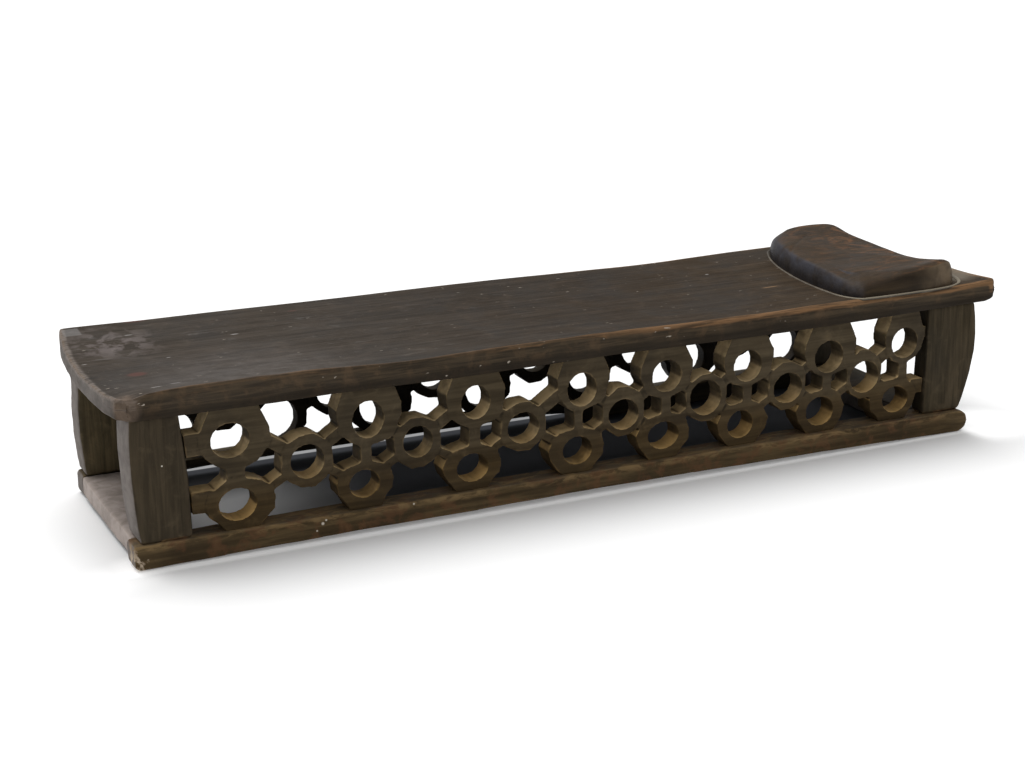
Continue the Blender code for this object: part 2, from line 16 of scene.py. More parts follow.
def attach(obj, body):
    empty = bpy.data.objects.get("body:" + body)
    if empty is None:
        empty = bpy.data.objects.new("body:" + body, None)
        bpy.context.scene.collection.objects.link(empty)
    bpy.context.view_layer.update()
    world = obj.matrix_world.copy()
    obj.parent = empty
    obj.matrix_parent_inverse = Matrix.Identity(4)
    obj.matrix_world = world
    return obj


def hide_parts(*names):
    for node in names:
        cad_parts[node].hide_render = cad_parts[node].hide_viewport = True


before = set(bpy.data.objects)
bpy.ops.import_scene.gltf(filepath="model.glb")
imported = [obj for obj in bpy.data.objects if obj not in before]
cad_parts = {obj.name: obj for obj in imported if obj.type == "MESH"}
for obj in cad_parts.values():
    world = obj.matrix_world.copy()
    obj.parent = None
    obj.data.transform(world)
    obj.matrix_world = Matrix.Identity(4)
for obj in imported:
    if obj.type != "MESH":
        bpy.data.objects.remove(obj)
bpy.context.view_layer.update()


# ------------------------------------------------------------------- noise

def hashed(cells, seed):
    """A repeatable number from 0 to 1 for each whole-numbered cell."""
    cells = cells.astype(np.int64)
    mixed = cells[:, 0] * 73856093 ^ cells[:, 1] * 19349663 ^ cells[:, 2] * 83492791
    mixed = (mixed ^ (seed * 2654435761)) & 0xFFFFFFFF
    mixed = ((mixed >> 16) ^ mixed) * 0x45D9F3B & 0xFFFFFFFF
    mixed = ((mixed >> 16) ^ mixed) * 0x45D9F3B & 0xFFFFFFFF
    return ((mixed >> 16) ^ mixed) / 4294967295.0


def smooth_noise(points, seed):
    """Value noise from -1 to 1."""
    low = np.floor(points)
    part = points - low
    part = part * part * (3 - 2 * part)
    total = np.zeros(len(points))
    for dx in (0, 1):
        for dy in (0, 1):
            for dz in (0, 1):
                share = ((part[:, 0] if dx else 1 - part[:, 0])
                         * (part[:, 1] if dy else 1 - part[:, 1])
                         * (part[:, 2] if dz else 1 - part[:, 2]))
                total += share * hashed(low + (dx, dy, dz), seed)
    return total * 2 - 1


def rough_noise(points, seed, octaves=3):
    """Several octaves of value noise, about -1 to 1."""
    total = np.zeros(len(points))
    for octave in range(octaves):
        total += smooth_noise(points * 2 ** octave, seed + 17 * octave) / 2 ** octave
    return total / (2 - 2 ** (1 - octaves))


def scoops(points, seed, hollow=1.0):
    """Overlapping shallow scoops, as an adze leaves: 0 at a scoop's floor."""
    low = np.floor(points)
    best = np.full(len(points), 9.0)
    for dx in (-1, 0, 1):
        for dy in (-1, 0, 1):
            for dz in (-1, 0, 1):
                cell = low + (dx, dy, dz)
                centre = cell + 0.15 + 0.7 * np.stack(
                    [hashed(cell, seed + turn) for turn in range(3)], 1)
                away = ((points - centre) ** 2).sum(1)
                best = np.minimum(best, hollow * away + 0.35 * hashed(cell, seed + 5))
    return np.clip(best, 0, 1.6)


# ------------------------------------------------------------------ meshes

def fine_mesh(name, nodes, voxel, rounding, adjust=None):
    """CAD nodes fused into one dense skin with softened arrises."""
    work = bmesh.new()
    for node in nodes:
        work.from_mesh(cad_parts[node].data)
    bmesh.ops.remove_doubles(work, verts=work.verts, dist=0.00001)
    if adjust:
        for vertex in work.verts:
            vertex.co = adjust(*vertex.co)
    draft_mesh = bpy.data.meshes.new(name + "_draft")
    work.to_mesh(draft_mesh)
    work.free()
    draft = bpy.data.objects.new(name + "_draft", draft_mesh)
    bpy.context.scene.collection.objects.link(draft)
    remesh = draft.modifiers.new("skin", "REMESH")
    remesh.mode = "VOXEL"
    remesh.voxel_size = voxel
    smooth = draft.modifiers.new("wear", "SMOOTH")
    smooth.factor = 0.5
    smooth.iterations = rounding
    bpy.context.view_layer.update()
    depsgraph = bpy.context.evaluated_depsgraph_get()
    mesh = bpy.data.meshes.new_from_object(draft.evaluated_get(depsgraph))
    bpy.data.objects.remove(draft, do_unlink=True)
    bpy.data.meshes.remove(draft_mesh)
    mesh.name = name
    return mesh


def points_of(mesh):
    """Vertex places and normals as arrays."""
    places = np.empty(len(mesh.vertices) * 3, np.float32)
    mesh.vertices.foreach_get("co", places)
    normals = np.empty(len(mesh.vertices) * 3, np.float32)
    mesh.vertex_normals.foreach_get("vector", normals)
    return places.reshape(-1, 3).astype(float), normals.reshape(-1, 3).astype(float)


def set_points(mesh, places):
    """Write vertex places back."""
    mesh.vertices.foreach_set("co", places.astype(np.float32).ravel())
    mesh.update()


def relaxed(mesh, values, turns):
    """Values at the vertices, each averaged with its neighbours a few times."""
    edges = np.empty(len(mesh.edges) * 2, np.int32)
    mesh.edges.foreach_get("vertices", edges)
    first, second = edges[0::2], edges[1::2]
    count = len(mesh.vertices)
    links = np.bincount(first, minlength=count) + np.bincount(second, minlength=count)
    for _ in range(turns):
        columns = []
        for column in range(values.shape[1]):
            total = (np.bincount(first, values[second, column], count)
                     + np.bincount(second, values[first, column], count))
            columns.append(total / np.maximum(links, 1))
        values = 0.5 * values + 0.5 * np.stack(columns, 1)
    return values


def store_wear(mesh, reach=6):
    """Record how proud or hollow each point is: above 0 on arrises."""
    places, normals = points_of(mesh)
    away = ((places - relaxed(mesh, places, reach)) * normals).sum(1)
    layer = mesh.attributes.new("proud", "FLOAT", "POINT")
    layer.data.foreach_set("value", (away * 1000).astype(np.float32))


def make_piece(name, mesh, material, replaced):
    """Show a mesh as a piece of the bed, in place of its CAD nodes."""
    body = bpy.data.objects.new(name, mesh)
    bpy.context.scene.collection.objects.link(body)
    mesh.polygons.foreach_set("use_smooth", np.ones(len(mesh.polygons), bool))
    mesh.materials.clear()
    mesh.materials.append(material)
    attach(body, "root")
    if replaced:
        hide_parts(*replaced)
    return body


def grid_mesh(name, sections, ends="capped"):
    """Skin over equal loops given as an array (loops, points, 3)."""
    rows, size = sections.shape[:2]
    last = rows if ends == "ring" else rows - 1
    row = np.arange(last)[:, None]
    step = np.arange(size)[None, :]
    ahead = (step + 1) % size
    above = (row + 1) % rows
    quads = np.stack([row * size + step, row * size + ahead,
                      above * size + ahead, above * size + step], -1)
    faces = quads.reshape(-1, 4).tolist()
    if ends == "capped":
        faces.append(list(range(size))[::-1])
        faces.append([(rows - 1) * size + k for k in range(size)])
    mesh = bpy.data.meshes.new(name)
    mesh.from_pydata(sections.reshape(-1, 3).tolist(), [], faces)
    mesh.update()
    work = bmesh.new()
    work.from_mesh(mesh)
    bmesh.ops.recalc_face_normals(work, faces=work.faces)
    work.to_mesh(mesh)
    work.free()
    return mesh


def curved(rows, count, closed=True):
    """Smooth run of points through a table of rows, count to each step."""
    rows = np.array(rows, float)
    if not closed:
        rows = np.vstack([2 * rows[0] - rows[1], rows, 2 * rows[-1] - rows[-2]])
    share = np.arange(count)[:, None] / count
    out = []
    total = len(rows)
    for index in (range(total) if closed else range(1, total - 2)):
        p0, p1, p2, p3 = (rows[(index + turn) % total] for turn in (-1, 0, 1, 2))
        out.append(0.5 * (2 * p1 + (p2 - p0) * share + (2 * p0 - 5 * p1 + 4 * p2 - p3) * share ** 2
                          + (3 * p1 - p0 - 3 * p2 + p3) * share ** 3))
    if not closed:
        out.append(rows[-2][None])
    return np.vstack(out)


def lookup(table, positions):
    """A table's second column at the given positions, smoothly joined."""
    fine = curved(table, 12, closed=False)
    return np.interp(positions, fine[:, 0], fine[:, 1])


def straight(table, positions):
    """A table's second column at the given positions, joined by straight lines."""
    return np.interp(positions, *zip(*table))


# --------------------------------------------------------------- materials

class Nodes:
    """Short calls for building one material's node tree."""

    def __init__(self, name):
        self.material = bpy.data.materials.new(name)
        self.material.use_nodes = True
        self.tree = self.material.node_tree
        self.shader = self.tree.nodes["Principled BSDF"]
        self.place = self.new("ShaderNodeTexCoord").outputs["Object"]
        geometry = self.new("ShaderNodeNewGeometry")
        self.normal = geometry.outputs["Normal"]

    def new(self, kind, **settings):
        node = self.tree.nodes.new(kind)
        for key, value in settings.items():
            setattr(node, key, value)
        return node

    def feed(self, socket, value):
        if isinstance(value, (int, float)):
            socket.default_value = value
        elif isinstance(value, tuple):
            socket.default_value = value if len(value) != 3 or socket.type != "RGBA" else (*value, 1.0)
        else:
            self.tree.links.new(value, socket)

    def math(self, operation, a, b=0.0, c=0.0, clamp=False):
        node = self.new("ShaderNodeMath", operation=operation, use_clamp=clamp)
        for socket, value in zip(node.inputs, (a, b, c)):
            self.feed(socket, value)
        return node.outputs[0]

    def times(self, *values):
        product = values[0]
        for value in values[1:]:
            product = self.math("MULTIPLY", product, value)
        return product

    def stretch(self, x, y, z):
        node = self.new("ShaderNodeVectorMath", operation="MULTIPLY")
        self.feed(node.inputs[0], self.place)
        node.inputs[1].default_value = (x, y, z)
        return node.outputs[0]

    def noise(self, vector, scale, detail=3.0, roughness=0.55, bend=0.0):
        node = self.new("ShaderNodeTexNoise")
        self.feed(node.inputs["Vector"], vector)
        node.inputs["Scale"].default_value = scale
        node.inputs["Detail"].default_value = detail
        node.inputs["Roughness"].default_value = roughness
        node.inputs["Distortion"].default_value = bend
        return node.outputs["Fac"]

    def ramp(self, value, low, high, start=0.0, end=1.0):
        node = self.new("ShaderNodeMapRange", interpolation_type="SMOOTHSTEP")
        for socket, number in zip(node.inputs, (value, low, high, start, end)):
            self.feed(socket, number)
        return node.outputs[0]

    def mix(self, share, a, b, blend="MIX"):
        node = self.new("ShaderNodeMix", data_type="RGBA", blend_type=blend)
        self.feed(node.inputs[0], share)
        self.feed(node.inputs[6], a)
        self.feed(node.inputs[7], b)
        return node.outputs[2]

    def tone(self, share, colour, tint):
        """The colour, multiplied by a tint where the share is 1."""
        return self.mix(share, colour, self.mix(1.0, colour, tint, "MULTIPLY"))

    def axis(self, vector, name):
        node = self.new("ShaderNodeSeparateXYZ")
        self.feed(node.inputs[0], vector)
        return node.outputs[name]

    def wear(self):
        return self.new("ShaderNodeAttribute", attribute_name="proud").outputs["Fac"]

    def bump(self, height, strength, distance, under=None):
        node = self.new("ShaderNodeBump")
        node.inputs["Strength"].default_value = strength
        node.inputs["Distance"].default_value = distance
        self.feed(node.inputs["Height"], height)
        if under is not None:
            self.feed(node.inputs["Normal"], under)
        return node.outputs[0]


def near(n, x, y, z, inner, outer):
    """1 close to a place, falling to 0 at the outer distance."""
    node = n.new("ShaderNodeVectorMath", operation="DISTANCE")
    n.feed(node.inputs[0], n.place)
    node.inputs[1].default_value = (x, y, z)
    return n.ramp(node.outputs["Value"], inner, outer, 1.0, 0.0)


def mark(n, x, y, half_x, half_y):
    """1 inside a thin mark lying level, at a place seen from above."""
    node = n.new("ShaderNodeVectorMath", operation="DISTANCE")
    n.feed(node.inputs[0], n.stretch(1 / half_x, 1 / half_y, 0.0))
    node.inputs[1].default_value = (x / half_x, y / half_y, 0.0)
    return n.ramp(node.outputs["Value"], 0.45, 1.0, 1.0, 0.0)


# How grain and broader streaks are stretched, on level and on upright timber.
LEVEL_GRAIN = ((3.0, 60.0, 60.0), (0.8, 14.0, 14.0))
UPRIGHT_GRAIN = ((60.0, 60.0, 3.0), (14.0, 14.0, 1.5))


def carved_wood(name, deep, face, dust, worn, dusty=0.6, rough=0.62, end_dust=None, top_dust=0.0,
                extra=None, gloss=0.12, grainy=0.55, upright=False):
    """Old dark hardwood: grain along X or upright, dust in the cuts, rubbed arrises, and painted shade
    on cut faces turned sideways or down and in hollows.

    A film of end_dust lies on faces towards the foot, and on top as far as top_dust says.
    """
    n = Nodes(name)
    fibres, bands = UPRIGHT_GRAIN if upright else LEVEL_GRAIN
    grain = n.noise(n.stretch(*fibres), 3.0, 4.0, 0.6, 0.4)
    streak = n.noise(n.stretch(*bands), 4.0, 3.0, 0.55, 0.6)
    patch = n.noise(n.place, 7.0, 4.0, 0.6, 0.3)
    blot = n.noise(n.place, 26.0, 4.0, 0.62, 0.5)
    fine = n.noise(n.place, 220.0, 3.0, 0.6)
    colour = n.mix(n.ramp(streak, 0.30, 0.70), deep, face)
    colour = n.mix(n.ramp(grain, 0.38, 0.72, 0.0, grainy), colour, tuple(0.45 * v for v in deep))
    colour = n.mix(n.ramp(blot, 0.52, 0.75, 0.0, 0.45), colour, tuple(1.45 * v for v in face))
    colour = n.mix(n.ramp(patch, 0.50, 0.34, 0.0, 0.45), colour, tuple(0.55 * v for v in deep))
    endward, facing, upward = (n.axis(n.normal, way) for way in "XYZ")
    cut = n.ramp(n.math("ABSOLUTE", facing), 0.92, 0.55)
    settled = n.ramp(upward, -0.1, 0.75)
    # Painted shade: cut faces that turn sideways or down are darkened.
    inner = n.times(cut, n.math("SUBTRACT", 1.0, settled), 0.9)
    colour = n.tone(inner, colour, (0.30, 0.28, 0.25))
    spread = n.ramp(n.math("ADD", patch, n.times(blot, 0.6)), 0.60, 1.0)
    amount = n.times(cut, n.math("ADD", 0.06, n.times(settled, 0.94)))
    amount = n.math("MULTIPLY", amount, n.math("ADD", 0.45, n.times(spread, 0.8)), clamp=True)
    colour = n.mix(n.times(amount, dusty), colour, dust)
    rubbed = n.ramp(n.math("ADD", n.wear(), n.times(n.math("SUBTRACT", blot, 0.55), 2.2)),
                    0.25, 0.95)
    colour = n.mix(n.times(rubbed, 0.55), colour, worn)
    # Painted shade in the hollows: concave places are darkened towards black.
    hollow = n.ramp(n.wear(), -0.10, -0.55)
    colour = n.mix(n.times(hollow, 0.65), colour, tuple(0.25 * v for v in deep))
    if end_dust:
        film = n.times(n.ramp(endward, -0.45, -0.85), n.ramp(blot, 0.25, 0.65, 0.55, 1.0))
        colour = n.mix(film, colour, end_dust)
    if top_dust:
        film = n.times(n.ramp(upward, 0.5, 0.9), n.ramp(blot, 0.3, 0.7, 0.45 * top_dust, top_dust))
        colour = n.mix(film, colour, end_dust)
    if extra:
        colour = extra(n, colour, grain, blot, upward)
    n.feed(n.shader.inputs["Base Color"], colour)
    n.feed(n.shader.inputs["Roughness"], n.ramp(n.math("ADD", patch, n.times(grain, 0.3)),
                                                0.3, 1.0, rough - 0.10, rough + 0.22))
    n.shader.inputs["Specular IOR Level"].default_value = gloss
    coarse = n.bump(grain, 0.55, 0.0009)
    middle = n.bump(blot, 0.60, 0.0016, coarse)
    n.feed(n.shader.inputs["Normal"], n.bump(fine, 0.40, 0.0005, middle))
    return n.material


# ---------------------------------------------------------- lattice, posts

WALL_LOW, WALL_HIGH = 0.0503, 0.2917
END_BAND = 0.0006               # points this close to a wall's end belong to the end
JOIN = 0.003                    # how far walls and posts run into their neighbours


def run_in(x, y, z):
    """Carry the ends of walls and posts into the board and the rails."""
    if z > WALL_HIGH - END_BAND:
        z += JOIN
    elif z < WALL_LOW + END_BAND:
        z -= JOIN
    return x, y, z


def names(prefix, count):
    return [f"{prefix}_{number}" for number in range(1, count + 1)]


LATTICE = {
    "front": names("front_ring_pair", 8) + names("front_middle_ring", 7),
    "back": names("back_ring_pair", 7) + names("back_middle_ring", 6),
}

SHIFT = 0.0054                  # from the carver's stations to the bed's centred length
MAUVE_DUST = (0.165, 0.144, 0.131)
# Pale dust on the left end plank, painted paler still as painted light.
PLANK_DUST_AND_LIGHT = (0.380, 0.325, 0.295)

# Deep tone, face, dust, worn arrises, and how dusty the cuts are.
WALL_LOOKS = {
    "front": ((0.036, 0.026, 0.014), (0.072, 0.054, 0.031), (0.600, 0.440, 0.235),
              (0.165, 0.115, 0.058), 0.92),
    # Painted shade: the back wall is painted near black all through, tone, face, dust and arrises alike,
    # for the shade inside the bed.
    "back": ((0.008, 0.006, 0.004), (0.016, 0.012, 0.007), (0.030, 0.022, 0.011),
             (0.030, 0.022, 0.013), 0.4),
}


def warmer_foot(n, colour, grain, blot, upward):
    """The lower rings are a shade redder and deeper."""
    low = n.ramp(n.axis(n.place, "Z"), 0.165, 0.095)
    return n.tone(low, colour, (0.92, 0.80, 0.58))


for side, nodes in LATTICE.items():
    deep, face, dust, worn, dusty = WALL_LOOKS[side]
    wall_wood = carved_wood(f"{side}_lattice_wood", deep, face, dust, worn, dusty, 0.70,
                            extra=warmer_foot, grainy=0.22)
    mesh = fine_mesh(f"{side}_lattice", nodes, 0.0026 if side == "front" else 0.0030, 2, run_in)
    places, normals = points_of(mesh)
    dents = scoops(places * (34, 30, 48), 3 if side == "front" else 4, 0.7)
    wobble = rough_noise(places * (20, 18, 28), 11)
    places += normals * (0.0010 * wobble - 0.0016 * (0.8 - dents))[:, None]
    set_points(mesh, places)
    store_wear(mesh)
    make_piece(f"carved_{side}_wall", mesh, wall_wood, nodes)


# Pale specks on the front rail's face: along, height, size.
RAIL_SPECKS = [(-0.590, 0.035, 0.0026), (-0.583, 0.041, 0.0018), (-0.602, 0.022, 0.0016),
               (-0.402, 0.044, 0.0018), (0.212, 0.040, 0.0018)]


def chipped(n, colour, grain, blot, upward):
    """Ochre rubbed along the rail's top, pale knocks at its foot corner, a few specks."""
    high, out = n.axis(n.place, "Z"), n.axis(n.place, "Y")
    rail = n.times(n.ramp(high, 0.056, 0.051), n.ramp(out, -0.19, -0.20))
    ruddy = n.times(rail, n.ramp(blot, 0.48, 0.62), 0.55)
    colour = n.mix(ruddy, colour, (0.105, 0.048, 0.022))
    ochre = n.noise(n.stretch(7.0, 22.0, 22.0), 2.4, 5.0, 0.68, 0.9)
    ochre = n.times(rail, n.ramp(high, 0.030, 0.047), n.ramp(ochre, 0.42, 0.62))
    colour = n.mix(n.times(ochre, 0.80), colour, (0.205, 0.135, 0.062))
    corner = n.times(near(n, -0.957, -0.245, 0.008, 0.012, 0.055), n.ramp(blot, 0.50, 0.58))
    colour = n.mix(corner, colour, (0.42, 0.34, 0.25))
    speck = near(n, -0.893, -0.247, 0.197, 0.0010, 0.0022)
    colour = n.mix(speck, colour, (0.62, 0.58, 0.50))
    for x, z, size in RAIL_SPECKS:
        spot = near(n, x, -0.251, z, 0.5 * size, 1.6 * size)
        colour = n.mix(spot, colour, (0.55, 0.50, 0.42))
    return colour


# Deep tone and face of each post.
POST_LOOKS = {
    "front_left_post": ((0.032, 0.024, 0.014), (0.056, 0.042, 0.025)),
    "front_right_post": ((0.031, 0.023, 0.012), (0.062, 0.046, 0.026)),
    # Painted light: the back-left post is painted pale, standing in for light on its inner face, which
    # lies in shade.
    "back_left_post": ((0.056, 0.043, 0.023), (0.125, 0.094, 0.050)),
    "back_right_post": ((0.022, 0.017, 0.010), (0.044, 0.033, 0.020)),
}
for node, (deep, face) in POST_LOOKS.items():
    film = MAUVE_DUST if "left" in node else None
    post_wood = carved_wood(node + "_wood", deep, face, (0.075, 0.058, 0.036),
                            (0.105, 0.078, 0.048), 0.35, 0.66, end_dust=film, extra=chipped,
                            grainy=0.40, upright=True)
    mesh = fine_mesh(node, [node], 0.0028, 3, run_in)
    places, normals = points_of(mesh)
    scale = (22, 16, 60) if node == "back_left_post" else (24, 22, 9)
    dents = scoops(places * scale, 21, 0.8)
    wobble = rough_noise(places * (12, 12, 9), 12)
    places += normals * (0.0012 * wobble - 0.0018 * (0.8 - dents))[:, None]
    set_points(mesh, places)
    store_wear(mesh)
    make_piece("carved_" + node, mesh, post_wood, [node])

# Deep tone, face, and how much dust has settled on top.
RAIL_LOOKS = {
    "front_rail": ((0.052, 0.034, 0.015), (0.102, 0.069, 0.032), 0.20),
    # Painted shade: the back rail is painted near black for the shade inside the bed.
    "back_rail": ((0.016, 0.012, 0.007), (0.030, 0.022, 0.012), 0.0),
    # Pale dust and painted light: the left end plank is painted pale, brighter than the shade it lies in
    # under the board's foot.
    "left_end_plank": ((0.090, 0.074, 0.064), (0.200, 0.170, 0.150), 1.00),
    # Painted shade: the right end plank is painted near black for the shade inside the bed.
    "right_end_plank": ((0.022, 0.017, 0.011), (0.044, 0.034, 0.022), 0.0),
}
for node, (deep, face, settled) in RAIL_LOOKS.items():
    film = PLANK_DUST_AND_LIGHT if node == "left_end_plank" else MAUVE_DUST
    rail_wood = carved_wood(node + "_wood", deep, face, (0.120, 0.088, 0.046),
                            (0.160, 0.112, 0.058), 0.45, 0.68, end_dust=film, top_dust=settled,
                            extra=chipped)
    mesh = fine_mesh(node, [node], 0.0028, 3)
    places, normals = points_of(mesh)
    dents = scoops(places * ((32, 7, 20) if "plank" in node else (11, 30, 34)), 31, 0.8)
    wobble = rough_noise(places * (7, 16, 16), 13)
    places += normals * (0.0012 * wobble - 0.0019 * (0.8 - dents))[:, None]
    places[:, 2] = np.maximum(places[:, 2], 0.0)
    set_points(mesh, places)
    store_wear(mesh)
    make_piece("carved_" + node, mesh, rail_wood, [node])


# ------------------------------------------------------------------- board

HALF_WIDTH = 0.2615
HALF_DEPTH = 0.022
FOOT, HEAD = -0.985, 0.960      # about where the board's two ends lie
EASE = 0.006                    # rounding of the end arrises
CORNER = 0.0045                 # rounding of the long arrises, but for the front one on top

# Height of the top along the front edge, the back edge and the middle.
FRONT_EDGE = [(-0.975, 0.3345), (-0.958, 0.3390), (-0.935, 0.3425), (-0.890, 0.3452), (-0.760, 0.3460),
              (-0.620, 0.3440), (-0.510, 0.3385), (-0.410, 0.3365), (-0.280, 0.3382), (-0.060, 0.3390),
              (0.110, 0.3362), (0.360, 0.3328), (0.530, 0.3350), (0.820, 0.3355), (0.958, 0.3400)]
BACK_EDGE = [(-0.955, 0.3450), (-0.880, 0.3438), (-0.800, 0.3422), (-0.600, 0.3412), (-0.400, 0.3395),
             (-0.100, 0.3388), (0.150, 0.3352), (0.400, 0.3322), (0.620, 0.3360), (0.800, 0.3370),
             (0.945, 0.3380)]
MIDDLE_LINE = [(-0.985, 0.3262), (-0.600, 0.3275), (0.400, 0.3260), (0.620, 0.3275), (0.800, 0.3280),
               (0.900, 0.3300), (0.945, 0.3330)]
# The ends seen from above: across, along.
FOOT_OUTLINE = [(-0.2615, -0.951), (-0.237, -0.9765), (-0.190, -0.985), (-0.110, -0.989),
                (-0.020, -0.990), (0.070, -0.986), (0.160, -0.978), (0.230, -0.969), (0.2615, -0.962)]
HEAD_OUTLINE = [(-0.2615, 0.969), (-0.250, 0.977), (-0.235, 0.979), (-0.200, 0.972), (-0.150, 0.965),
                (-0.080, 0.960), (0.000, 0.950), (0.080, 0.945), (0.160, 0.946), (0.230, 0.954),
                (0.2615, 0.956)]
# How far the front edge hangs below the underside, along the board.
LIP_DROP = [(-0.960, 0.0010), (-0.700, 0.0020), (-0.590, 0.0005), (-0.360, 0.0038), (-0.100, 0.0026),
            (0.060, 0.0024), (0.210, 0.0045), (0.420, 0.0066), (0.630, 0.0052), (0.780, 0.0020),
            (0.900, 0.0)]


def underside(x):
    """The board's underside, rising past the head posts."""
    return np.maximum(0.292, 0.2829 + (x - 0.900) * 0.2417)


def board_top(x, y):
    """Height of the hollowed top, with the raised ground beyond the headrest."""
    middle = lookup(MIDDLE_LINE, x)
    edge = np.where(y < 0, lookup(FRONT_EDGE, x), lookup(BACK_EDGE, x))
    height = middle + (edge - middle) * np.abs(y / HALF_WIDTH) ** 2.0
    ground = np.exp(-((x - 0.940) / 0.022) ** 2 - ((y + 0.125) / 0.075) ** 2)
    return height + 0.0065 * ground


def arc(centre_y, centre_z, radius, start, stop, count):
    """Points inside a rounded arris, without its two ends."""
    turn = np.radians(np.linspace(start, stop, count + 1)[1:-1])
    return np.stack([centre_y + radius * np.cos(turn), centre_z + radius * np.sin(turn)], 1)


# Places across the board, crowded towards the front edge.
SPREAD_TOP = np.concatenate([np.linspace(0, 0.055, 14)[:-1], np.linspace(0.055, 1, 90)])
SPREAD_UNDER = np.concatenate([np.linspace(0, 0.055, 10)[:-1], np.linspace(0.055, 1, 48)])


def board_section(along, inset=0.0, flatten=1.0, reach=0.0):
    """One loop round the board at a share of its length, drawn in or flattened for the ends."""
    x0 = FOOT + (HEAD - FOOT) * along
    wear = smooth_noise(np.array([[x0 * 9, 0.3, 0.7], [x0 * 23, 4.1, 0.2], [x0 * 6, 8.3, 0.4]]), 77)
    head_ward = float(np.clip((x0 + 0.35) / 0.75, 0, 1))
    round_front = 0.0058 + 0.0058 * head_ward + 0.0020 * wear[0] + 0.0010 * wear[1]
    low = float(underside(np.array(x0)))
    front = float(board_top(np.array([x0]), np.array([-HALF_WIDTH]))[0]) + 0.0007 * wear[1]
    back = float(board_top(np.array([x0]), np.array([HALF_WIDTH]))[0])
    r, q = round_front, CORNER
    y_front = HALF_WIDTH - 0.0006 + 0.0010 * wear[2]
    under = np.interp(SPREAD_UNDER, (0, 1), (-y_front + q, HALF_WIDTH - q))
    top = np.interp(SPREAD_TOP, (0, 1), (-y_front + r, HALF_WIDTH - q))[::-1]
    lap = [np.stack([under, np.full(len(under), low)], 1), arc(HALF_WIDTH - q, low + q, q, -90, 0, 5),
           np.stack([np.full(6, HALF_WIDTH), np.linspace(low + q, back - q, 6)], 1),
           arc(HALF_WIDTH - q, back - q, q, 0, 90, 5),
           np.stack([top, board_top(np.full(len(top), x0), top)], 1),
           arc(-y_front + r, front - r, r, 90, 180, 8),
           np.stack([np.full(11, -y_front), np.linspace(front - r, low + q, 11)], 1),
           arc(-y_front + q, low + q, q, 180, 270, 5)]
    lap = np.vstack(lap)
    y, z = lap[:, 0], lap[:, 1]
    hang = np.clip((-0.2465 - y) / 0.006, 0, 1) * np.clip((low + 0.020 - z) / 0.016, 0, 1)
    z = z - hang * straight(LIP_DROP, x0)
    centre = 0.5 * (low + board_top(np.full(len(y), x0), np.clip(y, -0.25, 0.25)))
    z = centre + (z - centre) * flatten * (1 - inset / HALF_DEPTH)
    y = y * (1 - inset / HALF_WIDTH)
    left, right = straight(FOOT_OUTLINE, y), lookup(HEAD_OUTLINE, y)
    x = left * (1 - along) + right * along + reach
    return np.stack([x + SHIFT, y, z], 1)


rounding = [(EASE * (1 - math.sin(turn)), EASE * (1 - math.cos(turn)))
            for turn in np.radians((0, 22, 45, 68))]
head_end = [board_section(1.0, inset, 1.0, -back) for inset, back in reversed(rounding)]
foot_end = [board_section(0.0, inset, 1.0, back) for inset, back in rounding]
foot_face = [board_section(0.0, EASE, flat) for flat in (0.02, 0.2, 0.4, 0.6, 0.8)]
head_face = [board_section(1.0, EASE, flat) for flat in (0.8, 0.6, 0.4, 0.2, 0.02)]
length = [board_section(share) for share in np.linspace(0.0, 1.0, 392) if 0.004 < share < 0.996]
sections = np.stack(foot_face + foot_end + length + head_end + head_face)


PALE, TAN = (0.300, 0.285, 0.270), (0.190, 0.115, 0.060)
RUDDY, BLACK = (0.085, 0.038, 0.030), (0.008, 0.006, 0.005)
# Marks on the top: along, across, half length, half width, colour.
BOARD_MARKS = [(-0.973, -0.064, 0.021, 0.0022, BLACK), (-0.835, 0.181, 0.011, 0.0022, PALE),
               (-0.637, 0.108, 0.011, 0.0028, PALE), (-0.847, -0.204, 0.014, 0.0020, PALE),
               (-0.886, -0.215, 0.014, 0.0028, PALE), (-0.887, -0.082, 0.024, 0.0200, RUDDY),
               (-0.479, 0.211, 0.014, 0.0030, RUDDY), (-0.801, 0.009, 0.006, 0.0018, PALE),
               (-0.959, 0.036, 0.007, 0.0020, PALE), (-0.802, 0.256, 0.031, 0.0060, RUDDY),
               (0.535, -0.046, 0.027, 0.0045, TAN), (0.471, 0.117, 0.006, 0.0030, PALE),
               (0.705, 0.116, 0.011, 0.0030, TAN)]


